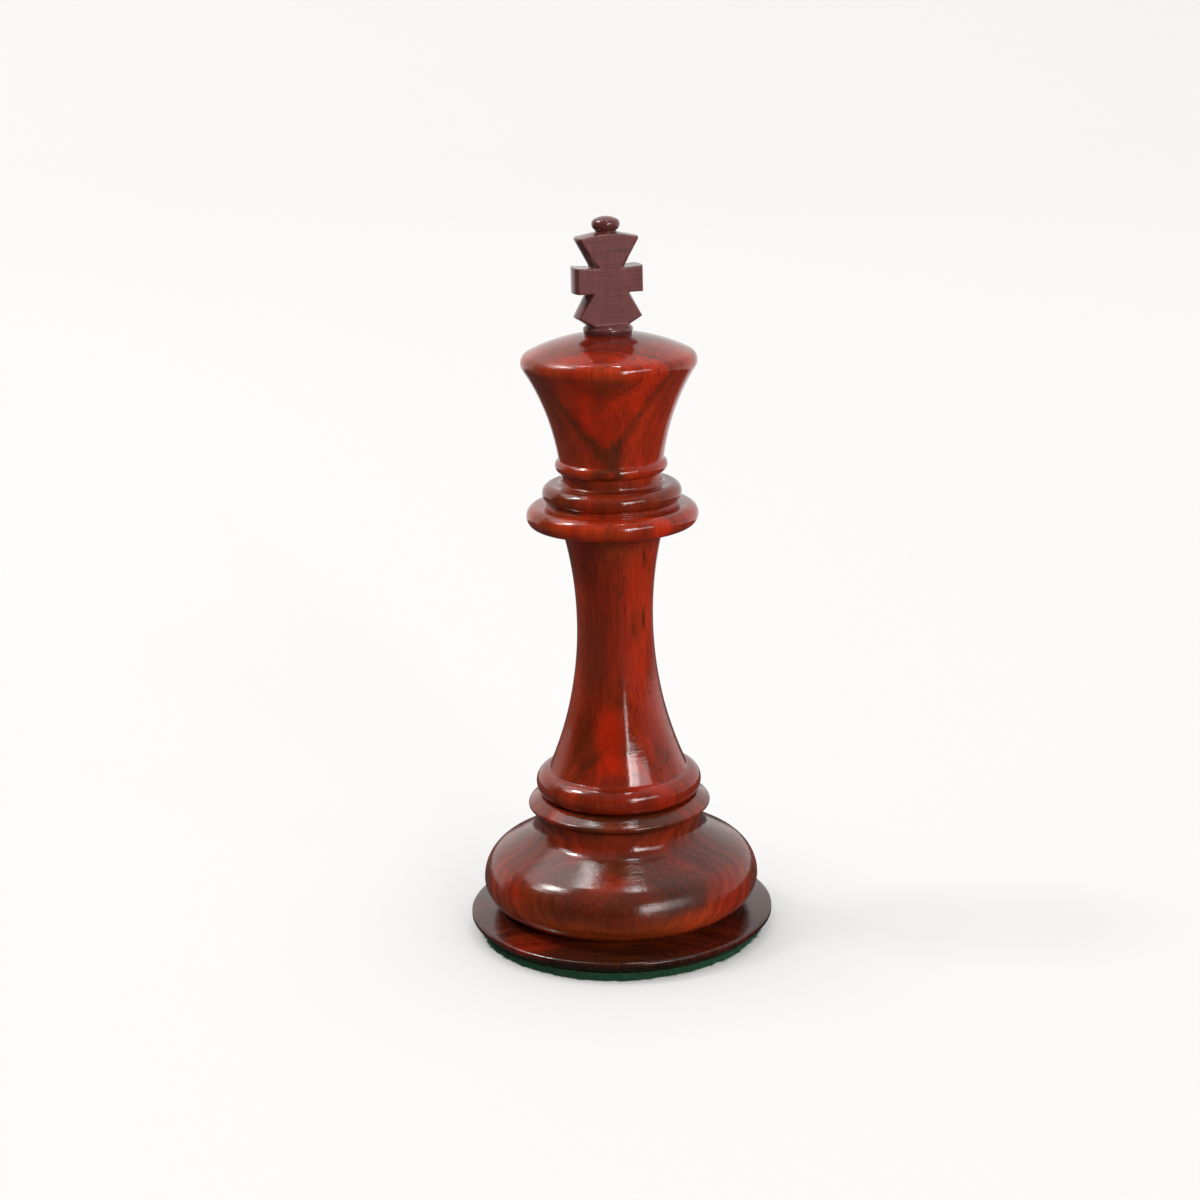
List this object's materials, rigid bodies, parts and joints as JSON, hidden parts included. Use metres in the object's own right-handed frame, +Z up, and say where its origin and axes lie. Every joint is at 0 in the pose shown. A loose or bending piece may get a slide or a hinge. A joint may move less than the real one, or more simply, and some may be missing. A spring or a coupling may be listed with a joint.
{
  "type": "chess king",
  "caption": "Turned wooden chess king with a flared stem, stacked collars, domed head and sawn cross on top, standing on a weighted base with a felt foot.",
  "frame": {"origin": "centre of the felt foot's underside, where the king stands on the board", "axes": "+Z up along the axis of the turning, towards the cross; the arms of the cross lie along X and its flat faces look along -Y and +Y"},
  "size_m": [0.0462, 0.0462, 0.1085],
  "materials": {
    "felt": "matt green felt",
    "base_wood": "glossy lacquered dark red rosewood",
    "weight_metal": "plain sawn slug",
    "plug_wood": "bare wood",
    "body_wood": "glossy lacquered red rosewood",
    "finial_wood": "satin oiled rosewood"
  },
  "bodies": {
    "root": {"felt_pad": "felt", "base": "base_wood", "base_weight": "weight_metal", "weight_plug": "plug_wood", "body": "body_wood", "cross_finial": "finial_wood"}
  },
  "joints": []
}
